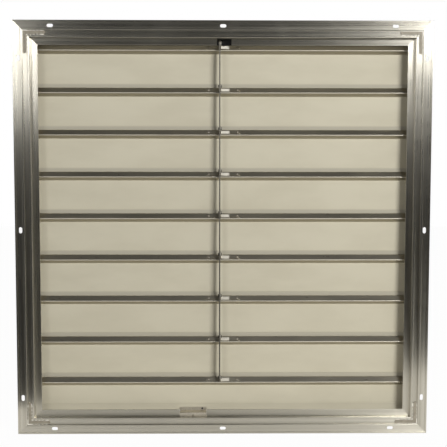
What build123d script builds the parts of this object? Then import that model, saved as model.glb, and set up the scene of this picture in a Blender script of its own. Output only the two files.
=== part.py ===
from build123d import *
import math
import os

# Exhaust shutter for a square wall opening: a mitred aluminium frame, folded sheet blades that hang
# from pivot pins, and one tie bar that swings them together. The air pushes the blades open towards
# +Y and they fall shut by their own weight.
# Millimetres. X runs across, Y along the air flow, Z up. The plane Y = 0 is the back of the flange,
# which lies on the wall, and the origin is the middle of the opening in that plane.

# Frame: outside size and the section that all four members share
FLANGE_SIZE = 1003.0
FLANGE_THICKNESS = 2.5
EDGE_BEAD_WIDTH = 3.5
EDGE_BEAD_HEIGHT = 1.5
OUTER_RIB_INSET = 18.5
OUTER_RIB_WIDTH = 5.0
RIB_HEIGHT = 4.0
KEY_GROOVE_WIDTH = 12.3
INNER_RIB_WIDTH = 5.2
RIB_ROUND = 1.2
BODY_WALL = 2.0
BODY_DEPTH = 52.0
BODY_BEAD_WIDTH = 1.5
BODY_BEAD_DEPTH = 3.0
LIP_SETBACK = 5.5
LIP_WIDTH = 17.0
LIP_THICKNESS = 2.0
LIP_ROUND = 0.8

# Fixing slots through the flange, three to a side
SLOT_LENGTH = 15.0
SLOT_WIDTH = 8.0
SLOT_SPAN = 824.0
SLOT_INSET = 13.0

# Corner keys
KEY_LEG = 56.0
KEY_THICKNESS = 2.5
KEY_TOOTH_PITCH = 8.2
KEY_TOOTH_DEPTH = 3.6
KEY_END_CUT = 5.0
KEY_CLEARANCE = 0.1

# Blades
BLADE_PITCH = 101.6
BLADE_SHEET = 1.0
SHORTEST_FLAT = 0.001
BLADE_DEPTH = 102.0
LAST_BLADE_LAP = 9.0
LAST_BLADE_LEAST = 50.0
FIRST_PIVOT_DROP = 6.5
PIVOT_SETBACK = 22.0
RIDGE_SLOPE = 36.0
RIDGE_TOP_BEND = 1.0
CREST_DROP = 4.2
CREST_BEND = 0.6
LEDGE_DROP = 12.8
LEDGE_SET = 4.5
LEDGE_BEND = 2.0
RIDGE_BACK_DROP = 8.0
HEM_HEIGHT = 17.0
HEM_GAP = 1.0
LAP_CLEARANCE = 0.7

# Stakes pressed into the ridges to hold the pins: distances from the left and right end, blade by blade
STAKE_LENGTH = 14.0
STAKE_WIDTH = 5.0
STAKE_DEPTH = 0.35
STAKE_PLACES = (
    (53.0, 53.0), (53.0, 53.0), (53.0, 53.0), (73.0, 101.0), (70.0, 90.0),
    (93.0, 94.0), (78.0, 106.0), (69.0, 106.0), (54.0, 47.0),
)

# Pivot pins and bushes
PIN_DIAMETER = 6.0
PIN_LENGTH = 120.0
PIN_SEAT = 0.05
PIN_CHAMFER = 0.6
BUSH_FLANGE_RADIUS = 7.5
BUSH_FLANGE = 3.5
BUSH_BARREL_RADIUS = 4.5
BLADE_END_CLEARANCE = 0.5
RUNNING_CLEARANCE = 0.06
SEAT_CLEARANCE = 0.05

# Tie bar, brackets and their pins
BAR_THICKNESS = 3.2
BAR_DEPTH = 14.0
BAR_OFFSET = -8.0
BAR_END = 8.0
TIE_REACH = 17.0
TIE_RISE = 11.0
TIE_PIN_RADIUS = 2.0
TIE_HEAD_RADIUS = 3.4
TIE_HEAD = 1.5
EAR_GAP = 0.4
EAR_RADIUS = 6.0
BRACKET_SHEET = 1.5
STRAP_LENGTH = 84.0
STRAP_MARGIN = 2.5
TAB_LENGTH = 20.0
TAB_HEIGHT = 6.0

# Rivets
RIVET_SPACING = 70.0
RIVET_RADIUS = 1.6
RIVET_HEAD_RADIUS = 2.9
RIVET_HEAD = 1.2
RIVET_TAIL_RADIUS = 2.2
RIVET_TAIL = 1.4

# Notch for the tie bar in the top lip; cut-out, clip and bumper in the bottom lip
NOTCH_WIDTH = 35.0
NOTCH_BEFORE_BAR = 7.0
CLIP_WIDTH = 65.0
CLIP_OFFSET = -73.0
CLIP_SHEET = 1.2
CLIP_BEND = 1.0
CLIP_EDGE = 0.5
CLIP_SIDE_GAP = 0.5
CUTOUT_DEPTH = 9.5
CLIP_RIVET_DROP = 3.6
BUMPER_RADIUS = 3.0
BUMPER_PAD = 2.0
BUMPER_STEM_RADIUS = 1.5
BUMPER_HEAD_RADIUS = 2.3
BUMPER_HEAD = 1.2
BUMPER_INSET = 10.0
BUMPER_DROP = 3.6
CLOSING_GAP = 0.3

# Head stop: the angle under the top wall that closes the gap above the first blade
HEAD_STOP_SHEET = 1.2
HEAD_STOP_BEND = 1.0
HEAD_STOP_CLEARANCE = 1.0
HEAD_STOP_RISE = 4.5
HEAD_RIVET_SPAN = 760.0

# Places worked out from the sizes above
flange_half = FLANGE_SIZE / 2
groove_start = OUTER_RIB_INSET + OUTER_RIB_WIDTH
inner_rib_start = groove_start + KEY_GROOVE_WIDTH
wall_inset = inner_rib_start + INNER_RIB_WIDTH
wall_half = flange_half - wall_inset
body_half = wall_half + BODY_WALL
lip_half = wall_half - LIP_WIDTH
lip_back = LIP_SETBACK + LIP_THICKNESS
pivot_y = lip_back + PIVOT_SETBACK
pin_radius = PIN_DIAMETER / 2
blade_half = wall_half - BUSH_FLANGE - BLADE_END_CLEARANCE
pivot_room = 2 * lip_half - FIRST_PIVOT_DROP - LAST_BLADE_LEAST
blade_count = int(pivot_room // BLADE_PITCH) + 1
pivot_heights = [lip_half - FIRST_PIVOT_DROP - i * BLADE_PITCH for i in range(blade_count)]
last_blade_depth = pivot_heights[-1] + lip_half + LAST_BLADE_LAP
cut_length = 4 * BODY_DEPTH


def bent_sheet(corners, inside_radii, thickness):
    """Face of a bent sheet, from the corners of its middle line and the inside radius of each bend."""
    points = [Vector(corner) for corner in corners]
    headings = [(b - a).normalized() for a, b in zip(points, points[1:])]
    turns = [a.get_signed_angle(b, Vector(0, 0, 1)) for a, b in zip(headings, headings[1:])]
    radii = [radius + thickness / 2 for radius in inside_radii]
    trims = [r * math.tan(math.radians(abs(turn) / 2)) for r, turn in zip(radii, turns)]
    half = thickness / 2
    left, right = [], []
    for i, heading in enumerate(headings):
        start = points[i] + heading * (trims[i - 1] if i else 0)
        end = points[i + 1] - heading * (trims[i] if i < len(trims) else 0)
        side = heading.rotate(Axis.Z, 90)
        if (end - start).length > SHORTEST_FLAT:
            left.append(Line(start + side * half, end + side * half))
            right.append(Line(start - side * half, end - side * half))
        if i < len(turns):
            sign = math.copysign(1, turns[i])
            centre = end + side * (sign * radii[i])
            spoke = end - centre
            from_angle = math.degrees(math.atan2(spoke.Y, spoke.X))
            left.append(CenterArc(centre, radii[i] - sign * half, from_angle, turns[i]))
            right.append(CenterArc(centre, radii[i] + sign * half, from_angle, turns[i]))
    caps = [Line(left[0] @ 0, right[0] @ 0), Line(left[-1] @ 1, right[-1] @ 1)]
    return make_face(left + right + caps)


def along_x(face, low, high):
    """Solid of a face drawn in (Y, Z), from X = low to X = high."""
    return extrude(Plane.YZ.offset(low) * face, high - low)


def rod_x(radius, low, high, y, z):
    """Round rod along X."""
    return Pos((low + high) / 2, y, z) * Rot(0, 90, 0) * Cylinder(radius, high - low)


def rivet(radius, head_radius, head, grip, tail_radius, tail):
    """Domed rivet along Z: the head stands on Z = 0 and the grip and tail lie below it."""
    dome_radius = (head_radius ** 2 + head ** 2) / (2 * head)
    dome = RadiusArc((0, head), (head_radius, 0), dome_radius)
    rest = Polyline(
        (head_radius, 0), (radius, 0), (radius, -grip), (tail_radius, -grip),
        (tail_radius, -grip - tail), (0, -grip - tail), (0, head),
    )
    return revolve(Plane.XZ * make_face([dome] + rest.edges()), Axis.Z)


def group(solids):
    """Separate solids of one kind, kept together in one node."""
    return Compound(children=list(solids))


# Frame members: one mitred length of the section, drawn as the top member and turned into place

def frame_section():
    """Section in (Y, Z) of the top member, with its outer edge up."""
    face = -FLANGE_THICKNESS
    rib_front = face - RIB_HEIGHT
    groove = (OUTER_RIB_INSET, groove_start, inner_rib_start)
    outline = [
        (0, 0), (face - EDGE_BEAD_HEIGHT, 0), (face - EDGE_BEAD_HEIGHT, EDGE_BEAD_WIDTH),
        (face, EDGE_BEAD_WIDTH), (face, groove[0]), (rib_front, groove[0]), (rib_front, groove[1]),
        (face, groove[1]), (face, groove[2]), (rib_front, groove[2]), (rib_front, wall_inset),
        (LIP_SETBACK, wall_inset), (LIP_SETBACK, wall_inset + LIP_WIDTH),
        (lip_back, wall_inset + LIP_WIDTH), (lip_back, wall_inset),
        (BODY_DEPTH - BODY_BEAD_DEPTH, wall_inset),
        (BODY_DEPTH - BODY_BEAD_DEPTH, wall_inset + BODY_BEAD_WIDTH),
        (BODY_DEPTH, wall_inset + BODY_BEAD_WIDTH), (BODY_DEPTH, wall_inset - BODY_WALL),
        (0, wall_inset - BODY_WALL),
    ]
    section = Sketch() + make_face(Polyline([(y, flange_half - inset) for y, inset in outline], close=True))
    rib_corners = [v for v in section.vertices() if abs(v.X - rib_front) < 1e-6]
    section = fillet(rib_corners, RIB_ROUND)
    lip_corners = [v for v in section.vertices() if abs(v.Y - lip_half) < 1e-6]
    return fillet(lip_corners, LIP_ROUND)


def frame_member():
    """Top member with mitred ends and its three fixing slots."""
    length = along_x(frame_section(), -flange_half, flange_half)
    corner = flange_half
    mitre = make_face(Polyline((0, 0), (corner, corner), (-corner, corner), close=True))
    member = length & extrude(Plane.XZ * mitre, cut_length, both=True)
    slot = extrude(Plane.XZ * SlotOverall(SLOT_LENGTH, SLOT_WIDTH), cut_length, both=True)
    for x in (-SLOT_SPAN / 2, 0, SLOT_SPAN / 2):
        member -= Pos(x, 0, flange_half - SLOT_INSET) * slot
    return member


def upright(side):
    """Left (-1) or right (+1) member, bored for the bushes."""
    member = Rot(0, 90 * side, 0) * frame_member()
    bore = BUSH_BARREL_RADIUS + SEAT_CLEARANCE
    ends = sorted((side * (wall_half - 1), side * (body_half + 1)))
    for height in pivot_heights:
        member -= rod_x(bore, ends[0], ends[1], pivot_y, height)
    return member


def top_member():
    """Top member, its lip notched for the tie bar and its wall drilled for the head stop."""
    low = BAR_OFFSET - NOTCH_BEFORE_BAR
    notch = Box(NOTCH_WIDTH, LIP_THICKNESS + 2, LIP_WIDTH, align=(Align.MIN, Align.MIN, Align.MIN))
    member = frame_member() - Pos(low, LIP_SETBACK - 1, lip_half) * notch
    drill = Cylinder(RIVET_RADIUS + SEAT_CLEARANCE, 4 * BODY_WALL)
    for x in head_rivet_places:
        member -= Pos(x, head_rivet_y, wall_half) * drill
    return member


def bottom_member():
    """Bottom member, its lip cut out for the clip and drilled for the clip's rivet."""
    cutout = Box(CLIP_WIDTH + 2 * CLIP_SIDE_GAP, LIP_THICKNESS + 2, 2 * CUTOUT_DEPTH)
    member = Rot(0, 180, 0) * frame_member()
    member -= Pos(CLIP_OFFSET, LIP_SETBACK + LIP_THICKNESS / 2, -lip_half) * cutout
    drill = Rot(90, 0, 0) * Cylinder(RIVET_RADIUS + SEAT_CLEARANCE, 4 * LIP_THICKNESS)
    return member - Pos(CLIP_OFFSET, lip_back, clip_rivet_z()) * drill


# Corner keys

def corner_key(side_x, side_z):
    """Serrated L-shaped key lying in the groove of two members."""
    width = KEY_GROOVE_WIDTH - 2 * KEY_CLEARANCE
    tip_gap = flange_half - groove_start - KEY_CLEARANCE
    teeth = int((KEY_LEG - KEY_END_CUT - width) // KEY_TOOTH_PITCH)
    stations = [width + KEY_TOOTH_PITCH * i / 2 for i in range(2 * teeth + 1)]
    depths = [KEY_TOOTH_DEPTH * (i % 2) for i in range(2 * teeth + 1)]
    outer = list(zip(stations, depths))
    inner = [(s, width - d) for s, d in outer]
    leg = [(0, 0)] + outer + [(KEY_LEG, KEY_TOOTH_DEPTH), (KEY_LEG - KEY_END_CUT, width)] + inner[::-1]
    other_leg = [(c, s) for s, c in leg[::-1]]
    outline = leg[:-1] + other_leg[:-1]
    points = [(side_x * (tip_gap - s), side_z * (tip_gap - c)) for s, c in outline]
    floor_plane = Plane.XZ.offset(FLANGE_THICKNESS)
    return extrude(floor_plane * make_face(Polyline(points, close=True)), KEY_THICKNESS)


# Blades: one folded sheet each, drawn in (Y, Z) about its own pivot axis

slope = math.radians(RIDGE_SLOPE)
sheet_middle = pin_radius + PIN_SEAT + BLADE_SHEET / 2
ridge_back = sheet_middle + BLADE_SHEET / 2
ridge_top = Vector(sheet_middle, sheet_middle * (1 + math.cos(slope)) / math.sin(slope))
crest = Vector(-(sheet_middle + CREST_DROP * math.sin(slope)) / math.cos(slope), -CREST_DROP)
ledge_end = Vector(LEDGE_SET, -LEDGE_DROP)
ledge_slope = math.atan2(ledge_end.X - crest.X, crest.Y - ledge_end.Y)
hem_offset = BLADE_SHEET + HEM_GAP
lap_y = ridge_back + LAP_CLEARANCE + BLADE_SHEET / 2 + hem_offset
panel_line = (Vector(lap_y, -BLADE_DEPTH) - ledge_end).normalized()
panel_front = panel_line.rotate(Axis.Z, -90)
upper_flat = (ridge_top - crest).normalized()
upper_normal = Vector(-upper_flat.Y, upper_flat.X)
top_trim = (RIDGE_TOP_BEND + BLADE_SHEET / 2) * math.tan(math.pi / 2 - slope / 2)
crest_trim = (CREST_BEND + BLADE_SHEET / 2) * math.tan((slope + ledge_slope) / 2)
flat_run = (ridge_top - crest).length - top_trim - crest_trim
flat_middle = crest + upper_flat * (crest_trim + flat_run / 2)
rivet_point = flat_middle + upper_normal * (BLADE_SHEET / 2)


def panel_point(depth):
    """Point of the panel's middle line at a depth below the pivot."""
    return ledge_end + panel_line * ((depth - LEDGE_DROP) / -panel_line.Y)


def on_upper_flat(x, lift):
    """Plane on the ridge's upper flat, in blade coordinates, its Z axis along the outward normal."""
    place = rivet_point + upper_normal * lift
    return Plane((x, place.X, place.Y), x_dir=(1, 0, 0), z_dir=(0, upper_normal.X, upper_normal.Y))


def blade(depth, stakes):
    """Blade from the folded ridge at its pivot to the hem at its bottom edge, staked at both ends."""
    fold = panel_point(depth - BLADE_SHEET / 2)
    hem_low = fold + panel_front * hem_offset
    hem_top = hem_low - panel_line * HEM_HEIGHT
    corners = [
        (sheet_middle, -RIDGE_BACK_DROP), ridge_top, crest, ledge_end, fold, hem_low, hem_top,
    ]
    hem_radius = HEM_GAP / 2
    radii = [RIDGE_TOP_BEND, CREST_BEND, LEDGE_BEND, hem_radius, hem_radius]
    sheet = along_x(bent_sheet(corners, radii, BLADE_SHEET), -blade_half, blade_half)
    for x in (-RIVET_SPACING / 2, RIVET_SPACING / 2):
        sheet -= on_upper_flat(x, 0) * Cylinder(RIVET_RADIUS + SEAT_CLEARANCE, 2 * BLADE_SHEET + pin_radius)
    stake = extrude(SlotOverall(STAKE_LENGTH, STAKE_WIDTH), BLADE_SHEET)
    for x in (stakes[0] - blade_half, blade_half - stakes[1]):
        sheet -= on_upper_flat(x, -STAKE_DEPTH) * stake
    return sheet


def pivot_pins():
    """Pair of pins held in the two ends of a blade's ridge."""
    pin = rod_x(pin_radius, body_half - PIN_LENGTH, body_half, 0, 0)
    pin = chamfer(pin.edges(), PIN_CHAMFER)
    return [pin, mirror(pin, Plane.YZ)]


def bush(side, height):
    """Flanged bush in an upright, in which a pivot pin turns."""
    flange = rod_x(BUSH_FLANGE_RADIUS, wall_half - BUSH_FLANGE, wall_half, pivot_y, height)
    barrel = rod_x(BUSH_BARREL_RADIUS, wall_half, body_half, pivot_y, height)
    bore = rod_x(pin_radius + RUNNING_CLEARANCE, wall_half - 2 * BUSH_FLANGE, body_half + 1, pivot_y, height)
    turned = flange + barrel - bore
    return turned if side > 0 else mirror(turned, Plane.YZ)


# Tie bar and its brackets, drawn about a blade's pivot axis

ear_low = BAR_OFFSET + BAR_THICKNESS / 2 + EAR_GAP
ear_high = ear_low + BRACKET_SHEET
strap_width = flat_run - 2 * STRAP_MARGIN


def bracket():
    """Strap riveted to the ridge, an ear out to the tie pin and a stiffening tab beside the ear."""
    strap = on_upper_flat(0, 0) * extrude(SlotOverall(STRAP_LENGTH, strap_width), BRACKET_SHEET)
    root_half = upper_flat * (strap_width / 2)
    root = rivet_point + upper_normal * (BRACKET_SHEET / 2)
    root_edge = Line(root - root_half, root + root_half)
    pad = Pos(-TIE_REACH, TIE_RISE) * Circle(EAR_RADIUS)
    ear = along_x(make_hull(root_edge.edges() + pad.edges()), ear_low, ear_high)
    fold = root - root_half
    tab_face = Pos(fold.X - BRACKET_SHEET / 2, fold.Y + TAB_HEIGHT / 2) * Rectangle(BRACKET_SHEET, TAB_HEIGHT)
    tab = along_x(tab_face, ear_low, ear_low + TAB_LENGTH)
    body = strap + ear + tab
    for x in (-RIVET_SPACING / 2, RIVET_SPACING / 2):
        body -= on_upper_flat(x, 0) * Cylinder(RIVET_RADIUS + SEAT_CLEARANCE, 4 * BRACKET_SHEET)
    return body - rod_x(TIE_PIN_RADIUS + SEAT_CLEARANCE, ear_low - 1, ear_high + 1, -TIE_REACH, TIE_RISE)


def bracket_rivets():
    """Pair of rivets through the strap and the ridge."""
    grip = BRACKET_SHEET + BLADE_SHEET
    fastener = rivet(RIVET_RADIUS, RIVET_HEAD_RADIUS, RIVET_HEAD, grip, RIVET_TAIL_RADIUS, RIVET_TAIL)
    return [on_upper_flat(x, BRACKET_SHEET) * fastener for x in (-RIVET_SPACING / 2, RIVET_SPACING / 2)]


def tie_pin():
    """Headed pin, fast in the ear, on which the tie bar turns."""
    bar_low = BAR_OFFSET - BAR_THICKNESS / 2
    head = rod_x(TIE_HEAD_RADIUS, bar_low - EAR_GAP - TIE_HEAD, bar_low - EAR_GAP, -TIE_REACH, TIE_RISE)
    shank = rod_x(TIE_PIN_RADIUS, bar_low - EAR_GAP, ear_high, -TIE_REACH, TIE_RISE)
    tail = rod_x(TIE_HEAD_RADIUS, ear_high, ear_high + TIE_HEAD, -TIE_REACH, TIE_RISE)
    return head + shank + tail


def tie_bar():
    """Flat bar on edge, bored for a tie pin at each blade."""
    top = pivot_heights[0] + TIE_RISE + BAR_END
    bottom = pivot_heights[-1] + TIE_RISE - BAR_END
    y = pivot_y - TIE_REACH
    low = BAR_OFFSET - BAR_THICKNESS / 2
    strip = Pos(y, (top + bottom) / 2) * Rot(0, 0, 90) * SlotOverall(top - bottom, BAR_DEPTH)
    high = low + BAR_THICKNESS
    bar = along_x(strip, low, high)
    bore = TIE_PIN_RADIUS + RUNNING_CLEARANCE
    for height in pivot_heights:
        bar -= rod_x(bore, low - 1, high + 1, y, height + TIE_RISE)
    return bar


# Clip in the bottom lip: a plate on the lip, a tongue through the cut-out and an upturned stop

bumper_x = CLIP_OFFSET + CLIP_WIDTH / 2 - BUMPER_INSET


def clip_rivet_z():
    """Height of the clip's rivet."""
    return -lip_half - CUTOUT_DEPTH - CLIP_RIVET_DROP


bumper_z = -lip_half - BUMPER_DROP
hem_face = panel_point(pivot_heights[-1] - bumper_z) + panel_front * (hem_offset + BLADE_SHEET / 2)
stop_y = pivot_y + hem_face.X - CLOSING_GAP - BUMPER_PAD


def stop_clip():
    """Bent clip that carries the closing bumper of the bottom blade."""
    middle = CLIP_SHEET / 2
    plate_y = LIP_SETBACK - middle
    tongue_z = -lip_half - CUTOUT_DEPTH + CLIP_BEND + SEAT_CLEARANCE + middle
    low_z = -wall_half + CLIP_EDGE
    high_z = -lip_half - CLIP_EDGE
    corners = [(plate_y, low_z), (plate_y, tongue_z), (stop_y - middle, tongue_z), (stop_y - middle, high_z)]
    sheet = bent_sheet(corners, [CLIP_BEND, CLIP_BEND], CLIP_SHEET)
    clip = along_x(sheet, CLIP_OFFSET - CLIP_WIDTH / 2, CLIP_OFFSET + CLIP_WIDTH / 2)
    drill = Rot(90, 0, 0) * Cylinder(RIVET_RADIUS + SEAT_CLEARANCE, 4 * CLIP_SHEET)
    clip -= Pos(CLIP_OFFSET, plate_y, clip_rivet_z()) * drill
    stem_hole = Rot(90, 0, 0) * Cylinder(BUMPER_STEM_RADIUS + SEAT_CLEARANCE, 4 * CLIP_SHEET)
    return clip - Pos(bumper_x, stop_y, bumper_z) * stem_hole


def clip_rivet():
    """Rivet of the clip, its head on the clip's front."""
    grip = CLIP_SHEET + LIP_THICKNESS
    fastener = rivet(RIVET_RADIUS, RIVET_HEAD_RADIUS, RIVET_HEAD, grip, RIVET_TAIL_RADIUS, RIVET_TAIL)
    return Pos(CLIP_OFFSET, LIP_SETBACK - CLIP_SHEET, clip_rivet_z()) * Rot(90, 0, 0) * fastener


def stop_bumper():
    """Rubber button, its domed pad towards the bottom blade."""
    head = BUMPER_HEAD_RADIUS
    button = rivet(BUMPER_STEM_RADIUS, BUMPER_RADIUS, BUMPER_PAD, CLIP_SHEET, head, BUMPER_HEAD)
    return Pos(bumper_x, stop_y, bumper_z) * Rot(-90, 0, 0) * button


# Head stop

head_stop_y = pivot_y + ridge_back + LAP_CLEARANCE + HEAD_STOP_SHEET / 2
head_stop_end = BODY_DEPTH - BODY_BEAD_DEPTH - HEAD_STOP_CLEARANCE
head_rivet_y = (head_stop_y + HEAD_STOP_SHEET / 2 + HEAD_STOP_BEND + head_stop_end) / 2
head_rivet_places = (-HEAD_RIVET_SPAN / 2, 0, HEAD_RIVET_SPAN / 2)


def head_stop():
    """Angle that the first blade's ridge laps, fixed under the top wall."""
    leg_z = wall_half - HEAD_STOP_SHEET / 2
    foot = (head_stop_y, pivot_heights[0] + HEAD_STOP_RISE)
    corners = [foot, (head_stop_y, leg_z), (head_stop_end, leg_z)]
    angle = along_x(bent_sheet(corners, [HEAD_STOP_BEND], HEAD_STOP_SHEET), -blade_half, blade_half)
    drill = Cylinder(RIVET_RADIUS + SEAT_CLEARANCE, 4 * HEAD_STOP_SHEET)
    for x in head_rivet_places:
        angle -= Pos(x, head_rivet_y, leg_z) * drill
    return angle


def head_rivets():
    """Rivets of the head stop, their heads under its upper leg."""
    grip = HEAD_STOP_SHEET + BODY_WALL
    fastener = rivet(RIVET_RADIUS, RIVET_HEAD_RADIUS, RIVET_HEAD, grip, RIVET_TAIL_RADIUS, RIVET_TAIL)
    under_leg = Pos(0, head_rivet_y, wall_half - HEAD_STOP_SHEET) * Rot(180, 0, 0)
    return [Pos(x, 0, 0) * under_leg * fastener for x in head_rivet_places]


# Every node with its shape, in place
nodes = {
    "frame_top": top_member(),
    "frame_bottom": bottom_member(),
    "frame_left": upright(-1),
    "frame_right": upright(1),
    "corner_key_top_left": corner_key(-1, 1),
    "corner_key_top_right": corner_key(1, 1),
    "corner_key_bottom_left": corner_key(-1, -1),
    "corner_key_bottom_right": corner_key(1, -1),
    "bushes_left": group(bush(-1, height) for height in pivot_heights),
    "bushes_right": group(bush(1, height) for height in pivot_heights),
    "stop_clip": stop_clip(),
    "head_stop": head_stop(),
    "frame_rivets": group([clip_rivet()] + head_rivets()),
    "stop_bumper": stop_bumper(),
    "tie_bar": tie_bar(),
}
for number, height in enumerate(pivot_heights, 1):
    seat = Pos(0, pivot_y, height)
    depth = last_blade_depth if number == blade_count else BLADE_DEPTH
    nodes[f"blade_{number}"] = seat * blade(depth, STAKE_PLACES[(number - 1) % len(STAKE_PLACES)])
    nodes[f"pivot_pins_{number}"] = group(seat * pin for pin in pivot_pins())
    nodes[f"bracket_{number}"] = seat * bracket()
    nodes[f"bracket_rivets_{number}"] = group(seat * fastener for fastener in bracket_rivets())
    nodes[f"tie_pin_{number}"] = seat * tie_pin()

os.makedirs("parts", exist_ok=True)
for name, shape in nodes.items():
    export_step(shape, f"parts/{name}.step")
print(f"{len(nodes)} nodes, {blade_count} blades, last blade {last_blade_depth:.1f} deep, "
      f"opening {2 * lip_half:.1f}, body {2 * body_half:.1f}, pivot Y {pivot_y:.2f}")
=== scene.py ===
# %% [markdown]
# # An exhaust shutter in mill aluminium
# A square frame of mitred extrusion holds nine folded sheet blades. Each blade hangs from two pins,
# and one tie bar makes them swing together when air pushes them open.
# The solids already have their true shape, so this lesson is about what a camera sees of them:
# drawn metal, rolled sheet, zinc plate and rubber, a plain studio, and a camera placed like the
# one that took the reference picture. We start by loading the solids and keeping their box.

# %% Load the solids
import math
import bmesh
import bpy
from mathutils import Euler, Matrix, Vector


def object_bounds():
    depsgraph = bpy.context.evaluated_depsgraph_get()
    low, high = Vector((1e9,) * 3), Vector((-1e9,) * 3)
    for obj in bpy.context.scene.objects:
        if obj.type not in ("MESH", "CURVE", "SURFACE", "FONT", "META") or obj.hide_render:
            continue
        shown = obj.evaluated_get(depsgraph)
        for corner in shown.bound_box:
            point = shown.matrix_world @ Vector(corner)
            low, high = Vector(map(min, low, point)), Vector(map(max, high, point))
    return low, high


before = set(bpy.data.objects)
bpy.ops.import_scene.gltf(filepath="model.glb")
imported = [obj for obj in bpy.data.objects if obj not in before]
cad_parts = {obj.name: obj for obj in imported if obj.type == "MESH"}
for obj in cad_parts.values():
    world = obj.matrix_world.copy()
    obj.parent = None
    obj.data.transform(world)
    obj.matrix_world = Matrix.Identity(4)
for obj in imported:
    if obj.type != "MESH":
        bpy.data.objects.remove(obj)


def rounded(box):
    """The corners of a box, short enough to print."""
    return [[round(value, 4) for value in corner] for corner in box]


cad_box = [list(corner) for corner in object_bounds()]
print("nodes:", len(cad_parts), "box:", rounded(cad_box))

# %% [markdown]
# ## Shader maths as Python
# A finish is a small calculation: streaks times wear, one minus a mask. Wiring Math nodes by hand
# hides that calculation, so we wrap an output socket in a class that knows plus, minus, times and
# remainder.
# Each operator adds one Math node. The reflected forms let a plain number stand first.

# %% A socket that Python can calculate with
class Wire:
    """One output socket, which adds a Math node for each operator used on it."""

    def __init__(self, tree, socket):
        self.tree = tree
        self.socket = socket

    def math(self, operation, first, second):
        return self.tree.add("ShaderNodeMath", {"operation": operation}, {0: first, 1: second})

    def __add__(self, other):
        return self.math("ADD", self, other)

    def __sub__(self, other):
        return self.math("SUBTRACT", self, other)

    def __rsub__(self, other):
        return self.math("SUBTRACT", other, self)

    def __mul__(self, other):
        return self.math("MULTIPLY", self, other)

    def __mod__(self, other):
        return self.math("FLOORED_MODULO", self, other)

    __radd__ = __add__
    __rmul__ = __mul__


# %% [markdown]
# Everything that isn't arithmetic comes from one method. It takes the node's type, its settings,
# which go first because some of them change the sockets, and then the values or wires of its
# inputs.

# %% A node tree with one method for any node
class NodeTree:
    """Adds nodes to the tree of a material or a world."""

    def __init__(self, owner):
        owner.use_nodes = True
        self.nodes = owner.node_tree.nodes
        self.links = owner.node_tree.links

    def feed(self, node, inputs):
        for key, value in inputs.items():
            if isinstance(value, Wire):
                self.links.new(value.socket, node.inputs[key])
            else:
                node.inputs[key].default_value = value

    def add(self, kind, settings, inputs, output=0):
        node = self.nodes.new(kind)
        for key, value in settings.items():
            setattr(node, key, value)
        self.feed(node, inputs)
        return Wire(self, node.outputs[output])


# %% [markdown]
# ## Coordinates and grain
# Extruded and rolled metal has a direction: the die or the rolls draw every mark out along it.
# We get that look from noise whose coordinates are squeezed along the length and stretched across
# it. Object coordinates are used because they travel with a part when it moves, and here they are
# metres in the shutter's own frame, so a scale is simply marks per metre.

# %% Noise that can be drawn out along one axis
GRAIN_ROUGHNESS = 0.55


def part_place(tree):
    """Where a point lies on the part, in metres."""
    return tree.add("ShaderNodeTexCoord", {}, {}, "Object")


def component(tree, vector, axis):
    """One component of a vector."""
    return tree.add("ShaderNodeSeparateXYZ", {}, {0: vector}, axis)


def along(axis, across, lengthwise):
    """Marks per metre: few along the named axis and many across it."""
    return tuple(lengthwise if name == axis else across for name in "XYZ")


def even(marks):
    """The same number of marks per metre along every axis."""
    return (marks, marks, marks)


def grain(tree, marks, detail):
    """Noise value from 0 to 1 with its own number of marks per metre along X, Y and Z."""
    place = part_place(tree)
    scaled = tree.add("ShaderNodeVectorMath", {"operation": "MULTIPLY"}, {0: place, 1: marks})
    sockets = {"Vector": scaled, "Scale": 1.0, "Detail": detail, "Roughness": GRAIN_ROUGHNESS}
    return tree.add("ShaderNodeTexNoise", {}, sockets, "Fac")


# %% [markdown]
# ## Masks, tints and bumps
# Noise becomes a mask when part of its range is stretched over 0 to 1 and held at both ends. A mask
# then chooses between two colours, adds to a roughness or fades a line. Three short helpers cover
# that, and a fourth turns a height into a bent normal.

# %% Helpers for masks, tints and bumps
def spread(tree, value, start, end, to_start, to_end, smooth=True):
    """The value carried from one range to another, and held at its ends."""
    settings = {"clamp": True, "interpolation_type": "SMOOTHSTEP" if smooth else "LINEAR"}
    ends = {"From Min": start, "From Max": end, "To Min": to_start, "To Max": to_end}
    return tree.add("ShaderNodeMapRange", settings, {"Value": value, **ends})


def fade_in(tree, value, start, end, smooth=True):
    """0 up to the start and 1 from the end on."""
    return spread(tree, value, start, end, 0.0, 1.0, smooth)


def fade_out(tree, value, start, end):
    """1 up to the start and 0 from the end on."""
    return spread(tree, value, start, end, 1.0, 0.0)


def tint(tree, share, colour, other):
    """A colour that goes from one to the other as share goes from 0 to 1."""
    ends = [end if isinstance(end, Wire) else (*end, 1.0) for end in (colour, other)]
    return tree.add("ShaderNodeMix", {"data_type": "RGBA"}, {0: share, 6: ends[0], 7: ends[1]}, 2)


def bump(tree, height, depth=1.0):
    """A normal bent by a height, where a height of 1 stands for a depth in metres."""
    return tree.add("ShaderNodeBump", {}, {"Height": height, "Distance": depth, "Strength": 1.0})


def new_finish(name):
    """A material, its node tree and its shader."""
    material = bpy.data.materials.new(name)
    tree = NodeTree(material)
    return material, tree, tree.nodes["Principled BSDF"]


# %% [markdown]
# ## Frame: extruded aluminium
# The four members are lengths of one extrusion, left bright from the die. The die draws fine lines
# along the whole length, too fine to model, and they blur a reflection across the lines and not
# along them. Bump could draw each line, but a camera this far away sees only their sum, and that is
# what the shader's anisotropy is for. Its blur follows the X direction on a face that looks forward,
# so an upright needs no turn and a rail needs a quarter turn. That alone makes the mitre visible:
# the two members at a corner look at the same room and blur it in different directions.
# Coarser streaks are still drawn in colour, roughness and a shallow bump.

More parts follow.
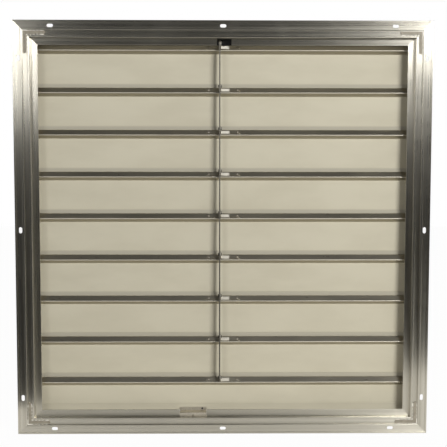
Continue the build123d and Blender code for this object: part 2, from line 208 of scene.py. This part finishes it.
# %% Frame finish, with die lines along one axis
FRAME_COLOUR = (0.56, 0.53, 0.45)
FRAME_STREAK = (0.70, 0.67, 0.585)
FRAME_ROUGH, LINE_ROUGH, SMEAR_ROUGH = 0.26, 0.1, 0.05
DIE_LINES, DIE_LINE_RUN = 700.0, 1.3
UPRIGHT_LINES = {"depth": 0.0003, "blur": 1.0, "turn": 0.0}
RAIL_LINES = {"depth": 0.00005, "blur": 0.88, "turn": 0.25}
WAVE_DEPTH = 0.00022


def frame_finish(axis, die):
    material, tree, shader = new_finish(f"frame_aluminium_{axis.lower()}")
    lines = grain(tree, along(axis, across=DIE_LINES, lengthwise=DIE_LINE_RUN), detail=4.0)
    bands = grain(tree, along(axis, across=160.0, lengthwise=0.6), detail=2.0)
    handling = grain(tree, even(9.0), detail=5.0)
    wave = grain(tree, along(axis, across=22.0, lengthwise=5.0), detail=1.0)
    smeared = fade_in(tree, handling, start=0.45, end=0.75)
    streaked = fade_in(tree, bands, start=0.3, end=0.7, smooth=False)
    lined = fade_in(tree, lines, start=0.35, end=0.7, smooth=False)
    tree.feed(shader, {
        "Base Color": tint(tree, streaked, FRAME_COLOUR, FRAME_STREAK),
        "Metallic": 1.0,
        "Roughness": FRAME_ROUGH + LINE_ROUGH * lined + SMEAR_ROUGH * smeared,
        "Normal": bump(tree, lines * die["depth"] + wave * WAVE_DEPTH),
        "Anisotropic": die["blur"],
        "Anisotropic Rotation": die["turn"],
    })
    return material


frame_along_x = frame_finish("X", RAIL_LINES)
frame_along_z = frame_finish("Z", UPRIGHT_LINES)
print("frame:", frame_along_x.name, frame_along_z.name, "die lines per metre:", DIE_LINES)

# %% [markdown]
# ## Blades: rolled sheet
# The blades are thin sheet with two looks. The panels are matt and warm, pale wherever the key light
# reaches them. The ridge along the top is burnished by the rolls that folded it, so it is bare metal
# and mirrors dark parts of the room: its upper flat looks at the ceiling and its lower flat at the
# panel below. The two could be two materials on one mesh, but the solids stay as they are, so one
# material tells them apart by depth: the ridge stands forward of the panels.
# Two thin lines come on top, and both are painted light: a painted shade on each hem, just above the
# ridge that stands in front of it, and a painted highlight along the ridge's crest. The blades are
# evenly spaced, so the remainder of height by pitch finds all such lines at once.

# %% Where a blade is burnished, and where its painted shade and painted highlight go
RIDGE_BACK, PANEL_FRONT = 0.0320, 0.0332
FIRST_PIVOT, BLADE_PITCH = 0.437, 0.1016
HEM_SHADE_FULL, HEM_SHADE_END = 0.0145, 0.0200
CREST_DROP, CREST_HIGHLIGHT_HALF, CREST_HIGHLIGHT_END = 0.0042, 0.0005, 0.0015


def blade_masks(tree):
    """Masks for the burnished ridge, the painted shade on the hem and the painted highlight on the
    crest.
    """
    depth, height = (component(tree, part_place(tree), axis) for axis in "YZ")
    above_pivot = height - FIRST_PIVOT
    burnished = fade_out(tree, depth, RIDGE_BACK, PANEL_FRONT)
    # painted shade: the hem is darkened in colour just above each ridge, where the ridge stands in
    # front of it
    dust_and_hem_shade = fade_out(tree, above_pivot % BLADE_PITCH, HEM_SHADE_FULL, HEM_SHADE_END)
    half_pitch = BLADE_PITCH / 2
    # painted highlight: a pale line of colour along each ridge's crest
    off_crest = (above_pivot + CREST_DROP + half_pitch) % BLADE_PITCH - half_pitch
    crest_highlight_line = fade_out(tree, off_crest * off_crest, CREST_HIGHLIGHT_HALF ** 2, CREST_HIGHLIGHT_END ** 2)
    return burnished, dust_and_hem_shade, burnished * crest_highlight_line


print("blade pitch:", BLADE_PITCH, "first pivot at", FIRST_PIVOT)

# %% [markdown]
# Rolling grain, faint cloudy oxide, scuffs and a slow buckle from folding thin metal go over panels
# and ridges alike. Each could be a material of its own, but they overlap freely on real sheet, so
# they are added up in one.

# %% Blade finish
PANEL_COLOUR = (0.57, 0.53, 0.41)
PANEL_CLOUD = (0.53, 0.49, 0.375)
HEM_PAINTED_SHADE = (0.43, 0.40, 0.315)
RIDGE_COLOUR = (0.42, 0.385, 0.31)
CREST_PAINTED_HIGHLIGHT = (0.62, 0.585, 0.49)
PANEL_METALLIC, RIDGE_METALLIC, CREST_HIGHLIGHT_METAL_LOSS = 0.14, 0.86, 0.6
PANEL_ROUGH, ROLLING_ROUGH, CLOUD_ROUGH = 0.6, 0.08, 0.06
RIDGE_SHINE, SCUFF_SHINE = 0.33, 0.1
ROLLING_DEPTH, BUCKLE_DEPTH = 0.00001, 0.0006


def blade_finish():
    material, tree, shader = new_finish("blade_aluminium")
    burnished, dust_and_hem_shade, crest_painted_highlight = blade_masks(tree)
    rolling = grain(tree, along("X", across=1400.0, lengthwise=9.0), detail=4.0)
    buckle = grain(tree, (3.5, 4.0, 12.0), detail=1.0)
    cloudy = fade_in(tree, grain(tree, (5.0, 30.0, 14.0), detail=5.0), start=0.35, end=0.7)
    scuffs = grain(tree, along("X", across=420.0, lengthwise=36.0), detail=2.0)
    scuffed = fade_in(tree, scuffs, start=0.66, end=0.8)
    # the panel colour carries the painted shade on the hem
    panel = tint(tree, dust_and_hem_shade, tint(tree, cloudy, PANEL_COLOUR, PANEL_CLOUD), HEM_PAINTED_SHADE)
    rough = PANEL_ROUGH - RIDGE_SHINE * burnished + ROLLING_ROUGH * rolling + CLOUD_ROUGH * cloudy
    tree.feed(shader, {
        # the ridge colour carries the painted highlight on the crest, which is also made less
        # metallic
        "Base Color": tint(tree, crest_painted_highlight, tint(tree, burnished, panel, RIDGE_COLOUR), CREST_PAINTED_HIGHLIGHT),
        "Metallic": PANEL_METALLIC + RIDGE_METALLIC * burnished - CREST_HIGHLIGHT_METAL_LOSS * crest_painted_highlight,
        "Roughness": rough - SCUFF_SHINE * scuffed,
        "Normal": bump(tree, rolling * ROLLING_DEPTH + buckle * BUCKLE_DEPTH),
    })
    return material


blade_sheet = blade_finish()
print("blade sheet:", blade_sheet.name)

# %% [markdown]
# ## Corner keys
# The keys that lock the mitres are stamped from plate, dull and a little brown. They are nearly
# matt, so a key keeps one tone while the mirror around it changes. Rows of teeth run along both
# edges of each leg, and their tips carry a painted highlight: pale colour in place of the glint on
# their sheared faces. All four keys lie on one square, so the larger of the distances across and up
# is the same along every leg. The painted highlight goes where it is farthest from the leg's middle
# line.

# %% Corner key finish
KEY_WIDTH = 0.0121
KEY_BODY = (0.23, 0.205, 0.155)
KEY_MOTTLE = (0.33, 0.30, 0.235)
KEY_TIP_PAINTED_GLINT = (0.84, 0.81, 0.73)
GLINT_START, GLINT_FULL = 0.0034, 0.0046
KEY_ROUGH, KEY_MOTTLE_ROUGH, TIP_SHINE = 0.52, 0.1, 0.16

key_edge = max(vertex.co.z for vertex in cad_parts["corner_key_top_left"].data.vertices)


def key_finish():
    material, tree, shader = new_finish("key_aluminium")
    spans = tree.add("ShaderNodeVectorMath", {"operation": "ABSOLUTE"}, {0: part_place(tree)})
    across, up = (component(tree, spans, axis) for axis in "XZ")
    off_middle = across.math("MAXIMUM", across, up) - (key_edge - KEY_WIDTH / 2)
    # painted highlight: the tooth tips are coloured pale, farthest from each leg's middle line
    tip_glints = fade_in(tree, off_middle * off_middle, GLINT_START ** 2, GLINT_FULL ** 2)
    mottle = grain(tree, even(160.0), detail=4.0)
    mottled = fade_in(tree, mottle, start=0.3, end=0.7, smooth=False)
    tree.feed(shader, {
        "Base Color": tint(tree, tip_glints, tint(tree, mottled, KEY_BODY, KEY_MOTTLE), KEY_TIP_PAINTED_GLINT),
        "Metallic": 0.2,
        "Roughness": KEY_ROUGH - TIP_SHINE * tip_glints + KEY_MOTTLE_ROUGH * mottle,
        "Normal": bump(tree, mottle, depth=0.00008),
    })
    return material


key_metal = key_finish()
print("corner keys:", key_metal.name, "outer edge at", round(key_edge, 4))

# %% [markdown]
# ## Small metal parts
# The tie bar is flat bar that has darkened in the air stream. The clip is plated and close to the
# sheet in tone, the pivot pins are drawn rod, the tie pins are blackened, and the rivets are soft
# aluminium that has dulled. One function makes them all: a metal with a grain and a mottle. What
# sets each apart is its two colours, its roughness and its marks per metre.

# %% Small metal finishes
MOTTLE_MARKS = 220.0
DRAWN_ROUGH, WORN_ROUGH = 0.14, 0.08
DRAWN_DEPTH, MOTTLE_DEPTH = 0.00002, 0.00003


def small_metal(name, colour, shade, roughness, marks):
    material, tree, shader = new_finish(name)
    drawn = grain(tree, marks, detail=3.0)
    mottle = grain(tree, even(MOTTLE_MARKS), detail=4.0)
    worn = fade_in(tree, mottle, start=0.32, end=0.7)
    tree.feed(shader, {
        "Base Color": tint(tree, worn, colour, shade),
        "Metallic": 1.0,
        "Roughness": roughness + DRAWN_ROUGH * drawn + WORN_ROUGH * worn,
        "Normal": bump(tree, drawn * DRAWN_DEPTH + mottle * MOTTLE_DEPTH),
    })
    return material


bar_metal = small_metal(
    "bar_aluminium", colour=(0.20, 0.185, 0.155), shade=(0.15, 0.14, 0.12), roughness=0.34,
    marks=along("Z", across=900.0, lengthwise=4.0))
clip_metal = small_metal(
    "clip_zinc", colour=(0.52, 0.48, 0.40), shade=(0.45, 0.415, 0.34), roughness=0.36,
    marks=even(300.0))
pin_steel = small_metal(
    "pin_steel", colour=(0.56, 0.56, 0.55), shade=(0.48, 0.48, 0.47), roughness=0.28,
    marks=along("X", across=900.0, lengthwise=6.0))
rivet_metal = small_metal(
    "rivet_aluminium", colour=(0.33, 0.305, 0.25), shade=(0.27, 0.25, 0.21), roughness=0.50,
    marks=even(500.0))
tie_pin_steel = small_metal(
    "tie_pin_steel", colour=(0.018, 0.018, 0.018), shade=(0.035, 0.033, 0.03), roughness=0.50,
    marks=even(600.0))
small_metals = (bar_metal, clip_metal, pin_steel, rivet_metal, tie_pin_steel)
print("small metals:", [metal.name for metal in small_metals])

# %% [markdown]
# ## Brackets
# A bracket is a strap along the ridge with a tab that turns out beside the tie bar. The strap has
# taken on the ridge's dark burnish. The tab, bent forward, carries a painted highlight: it is
# coloured pale and made less metallic. All nine tabs stand at the same place across the shutter, so
# that place is mask enough.

# %% Bracket finish
STRAP_COLOUR = (0.40, 0.37, 0.30)
TAB_PAINTED_HIGHLIGHT = (0.68, 0.65, 0.565)
TAB_MIDDLE, TAB_REACH, TAB_END = 0.0055, 0.0095, 0.0115
STRAP_ROUGH, STRAP_MOTTLE_ROUGH, TAB_ROUGH = 0.32, 0.12, 0.1
STRAP_METALLIC, TAB_HIGHLIGHT_METAL_LOSS = 1.0, 0.5


def bracket_finish():
    material, tree, shader = new_finish("bracket_zinc")
    # painted highlight: the tab is coloured pale and made less metallic
    off_tab = component(tree, part_place(tree), "X") - TAB_MIDDLE
    tab_highlight = fade_out(tree, off_tab * off_tab, TAB_REACH ** 2, TAB_END ** 2)
    mottle = grain(tree, even(MOTTLE_MARKS), detail=4.0)
    tree.feed(shader, {
        "Base Color": tint(tree, tab_highlight, STRAP_COLOUR, TAB_PAINTED_HIGHLIGHT),
        "Metallic": STRAP_METALLIC - TAB_HIGHLIGHT_METAL_LOSS * tab_highlight,
        "Roughness": STRAP_ROUGH + STRAP_MOTTLE_ROUGH * mottle + TAB_ROUGH * tab_highlight,
        "Normal": bump(tree, mottle, depth=0.00004),
    })
    return material


bracket_metal = bracket_finish()
print("brackets:", bracket_metal.name)

# %% [markdown]
# ## Nylon, rubber and a head stop in painted shade
# The bushes are black nylon and the bumper is black rubber. The head stop is coloured matt black as
# painted shade: it makes the notch in the top lip and the gap under the lip read dark. None is a
# flat
# black: nylon has a moulded sheen, rubber has dust in its pores, and the head stop lies between the
# two.
# They differ mostly in roughness and in how deep the pores are.

# %% Nylon, rubber and painted-shade finishes
DUST_ROUGH = 0.15


def dull_black(name, colour, dust_and_hem_shade, roughness, pore_depth):
    material, tree, shader = new_finish(name)
    pores = grain(tree, even(900.0), detail=3.0)
    dust = fade_in(tree, grain(tree, even(90.0), detail=4.0), start=0.5, end=0.8)
    tree.feed(shader, {
        "Base Color": tint(tree, dust, colour, dust_and_hem_shade),
        "Roughness": roughness + DUST_ROUGH * dust,
        "Normal": bump(tree, pores, pore_depth),
    })
    return material


bush_nylon = dull_black(
    "bush_nylon", colour=(0.012, 0.012, 0.013), dust_and_hem_shade=(0.03, 0.03, 0.03),
    roughness=0.42, pore_depth=0.00002)
bumper_rubber = dull_black(
    "bumper_rubber", colour=(0.010, 0.010, 0.010), dust_and_hem_shade=(0.035, 0.033, 0.03),
    roughness=0.75, pore_depth=0.00005)
# painted shade: the head stop is coloured black to darken the notch and the gap under the top lip
stop_paint = dull_black(
    "stop_paint", colour=(0.012, 0.012, 0.012), dust_and_hem_shade=(0.03, 0.028, 0.025),
    roughness=0.6, pore_depth=0.00003)
print("black parts:", bush_nylon.name, bumper_rubber.name, stop_paint.name)

# %% [markdown]
# ## Dress the nodes
# Each solid keeps its shape and its place, and only gets a finish. A name's first words say what
# the piece is, so a short list of beginnings is enough for all of them. Where two beginnings fit,
# the longer one counts, because bracket rivets are not brackets.

# %% Give each node its finish
finishes = {
    "frame_top": frame_along_x, "frame_bottom": frame_along_x,
    "frame_left": frame_along_z, "frame_right": frame_along_z,
    "corner_key": key_metal, "blade": blade_sheet,
    "bracket": bracket_metal, "bracket_rivets": rivet_metal, "frame_rivets": rivet_metal,
    "tie_bar": bar_metal, "tie_pin": tie_pin_steel, "pivot_pins": pin_steel,
    "stop_clip": clip_metal, "stop_bumper": bumper_rubber, "head_stop": stop_paint,
    "bushes": bush_nylon,
}


def finish_of(node):
    """The finish whose beginning is the longest that fits the node's name."""
    fitting = [start for start in finishes if node.startswith(start)]
    return finishes[max(fitting, key=len)]


for name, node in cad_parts.items():
    node.data.materials.clear()
    node.data.materials.append(finish_of(name))
print("dressed:", len(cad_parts))

# %% [markdown]
# ## Floor
# A product picture on white still needs something to stand on, because bright metal shows its
# floor. This one is a pale sheet under the flange. To the camera it is nearly all white, and in a
# reflection nearly half of it is; the rest stays an ordinary matt surface, so that it keeps the
# shutter's shadow.

# %% Floor finish
FLOOR_COLOUR = (0.80, 0.77, 0.70, 1.0)
WHITE = (1.0, 1.0, 1.0, 1.0)
EYE_GLOW = 0.97
GLOSS_GLOW = 0.46


def rays(tree, kind):
    """1 for rays of one kind and 0 for the rest."""
    return tree.add("ShaderNodeLightPath", {}, {}, f"Is {kind} Ray")


def floor_finish():
    material, tree, shader = new_finish("floor_white")
    tree.feed(shader, {"Base Color": FLOOR_COLOUR, "Roughness": 0.9})
    matt = Wire(tree, shader.outputs["BSDF"])
    glow = tree.add("ShaderNodeEmission", {}, {"Color": WHITE, "Strength": 1.0})
    mirrored = rays(tree, "Glossy") + rays(tree, "Transmission")
    share = rays(tree, "Camera") * EYE_GLOW + mirrored * GLOSS_GLOW
    mixed = tree.add("ShaderNodeMixShader", {}, {0: share, 1: matt, 2: glow})
    tree.feed(tree.nodes["Material Output"], {"Surface": mixed})
    return material


floor_white = floor_finish()
print("floor finish:", floor_white.name)

# %% [markdown]
# The sheet's front edge is cut on a skew. The metal mirrors that edge, and the skew makes its light
# reach higher on the right upright than on the left one. A lamp near the floor could do the same,
# but it would also light the panels.

# %% Lay the floor
FLOOR_FRONT, FLOOR_BACK, FLOOR_SIDE = 0.5, 6.0, 4.0
FLOOR_SKEW = 0.45
FLOOR_GAP = 0.0005


def floor_mesh():
    low, high = (Vector(corner) for corner in cad_box)
    front, back, lean = low.y - FLOOR_FRONT, high.y + FLOOR_BACK, FLOOR_SKEW * FLOOR_SIDE
    left_edge = [(-FLOOR_SIDE, back), (-FLOOR_SIDE, front + lean)]
    right_edge = [(FLOOR_SIDE, front - lean), (FLOOR_SIDE, back)]
    level = low.z - FLOOR_GAP
    sheet = bmesh.new()
    sheet.faces.new([sheet.verts.new((x, y, level)) for x, y in left_edge + right_edge])
    mesh = bpy.data.meshes.new("floor")
    sheet.to_mesh(mesh)
    sheet.free()
    mesh.materials.append(floor_white)
    return mesh


floor = bpy.data.objects.new("floor", floor_mesh())
bpy.context.scene.collection.objects.link(floor)
print("floor level:", round(floor.data.vertices[0].co.z, 4))

# %% [markdown]
# ## The room
# Mill aluminium is half mirror, so the room is part of the finish. The camera sees plain white. The
# metal sees white behind the shutter, grey walls around it, a dim ceiling, which the ridges mirror,
# and a dark band at eye level behind the camera, which gives the flat flange its deep middle tones.
# A picture of a studio could stand in for all this, but a few smooth steps are easier to tune.

# %% Set the room as the world
ROOM_GREY, CEILING_GREY, DARK_PLACE = 0.34, 0.09, 0.012
CEILING_FOOT, CEILING_TOP = 0.25, 0.65
BACKDROP_EDGE, BACKDROP_FULL = 0.05, 0.5
DARK_EDGE, DARK_MIDDLE = (math.cos(math.radians(angle)) for angle in (75, 35))
DARK_BAND, DARK_RISE = (math.sin(math.radians(angle)) ** 2 for angle in (10, 40))

world = bpy.data.worlds.new("room")
bpy.context.scene.world = world
room = NodeTree(world)
direction = room.add("ShaderNodeTexCoord", {}, {}, "Generated")
away, up = (component(room, direction, axis) for axis in "YZ")
walls = spread(room, up, CEILING_FOOT, CEILING_TOP, ROOM_GREY, CEILING_GREY)
toward_camera = fade_in(room, 0 - away, DARK_EDGE, DARK_MIDDLE)
dark = toward_camera * fade_out(room, up * up, DARK_BAND, DARK_RISE)
behind_camera = walls * (1 - dark) + dark * DARK_PLACE
backdrop = fade_in(room, away, BACKDROP_EDGE, BACKDROP_FULL)
metal_sees = behind_camera * (1 - backdrop) + backdrop
plain_white = rays(room, "Camera") + rays(room, "Transmission")
strength = plain_white + (1 - plain_white) * metal_sees
room.feed(room.nodes["Background"], {"Color": WHITE, "Strength": strength})
print("room grey:", ROOM_GREY, "ceiling:", CEILING_GREY, "dark place:", DARK_PLACE)

# %% [markdown]
# ## Lamps
# The key is a large soft lamp, far off to the right of the camera and above it. It throws the tie
# bar's shadow to the left and the right lip's shadow over the blade ends. The frame mirrors it too:
# the die lines draw its reflection out sideways, which whitens the top of the right upright. A small
# dim fill does the same for the left one. Each lamp's power follows from the level that it gives a
# panel, so a lamp can be moved or resized and the exposure stays.

# %% Place the lamps
def soft_lamp(name, azimuth, rise, distance, width, height, level):
    """Lamp to the right of the camera by its azimuth, which lights a panel to a given level."""
    turn, lift = math.radians(azimuth), math.radians(rise)
    toward = Vector((math.sin(turn), -math.cos(turn), math.tan(lift))).normalized()
    lamp = bpy.data.lights.new(name, "AREA")
    lamp.shape = "RECTANGLE"
    lamp.size, lamp.size_y = width, height
    lamp.energy = level * (math.pi * distance) ** 2 / -toward.y
    holder = bpy.data.objects.new(name, lamp)
    holder.location = toward * distance
    holder.rotation_euler = (-toward).to_track_quat("-Z", "Y").to_euler()
    bpy.context.scene.collection.objects.link(holder)
    print(name, "at", [round(v, 2) for v in holder.location], "watts", round(lamp.energy, 1))


soft_lamp("key", azimuth=30, rise=19.6, distance=6.0, width=2.1, height=2.2, level=0.69)
soft_lamp("fill", azimuth=-30, rise=14.4, distance=4.0, width=1.2, height=1.2, level=0.135)

# %% [markdown]
# ## Camera
# The flange is a true square, so its four edges in the reference picture say where the camera
# stood: the bottom edge is shorter, so the camera looked down a little from above the middle. The
# distance can't be told from a flat square. It was chosen so that the ridges, which lie behind the
# flange, keep their spacing.

# %% Place the camera
CAMERA_PLACE = (-0.030, -2.4, 0.212)
CAMERA_DOWN = math.radians(4.66)
CAMERA_RIGHT = math.radians(0.746)
CAMERA_ROLL = math.radians(0.068)
FIELD_OF_VIEW = math.radians(25.32)

lens = bpy.data.cameras.new("camera")
lens.sensor_fit = "HORIZONTAL"
lens.angle = FIELD_OF_VIEW
camera = bpy.data.objects.new("camera", lens)
camera.location = CAMERA_PLACE
aim = Euler((math.pi / 2 - CAMERA_DOWN, 0, -CAMERA_RIGHT)).to_matrix()
camera.rotation_euler = (aim @ Matrix.Rotation(CAMERA_ROLL, 3, "Z")).to_euler()
bpy.context.scene.collection.objects.link(camera)
bpy.context.scene.camera = camera
bpy.context.scene.view_settings.view_transform = "Standard"
print("field of view:", round(math.degrees(FIELD_OF_VIEW), 2))
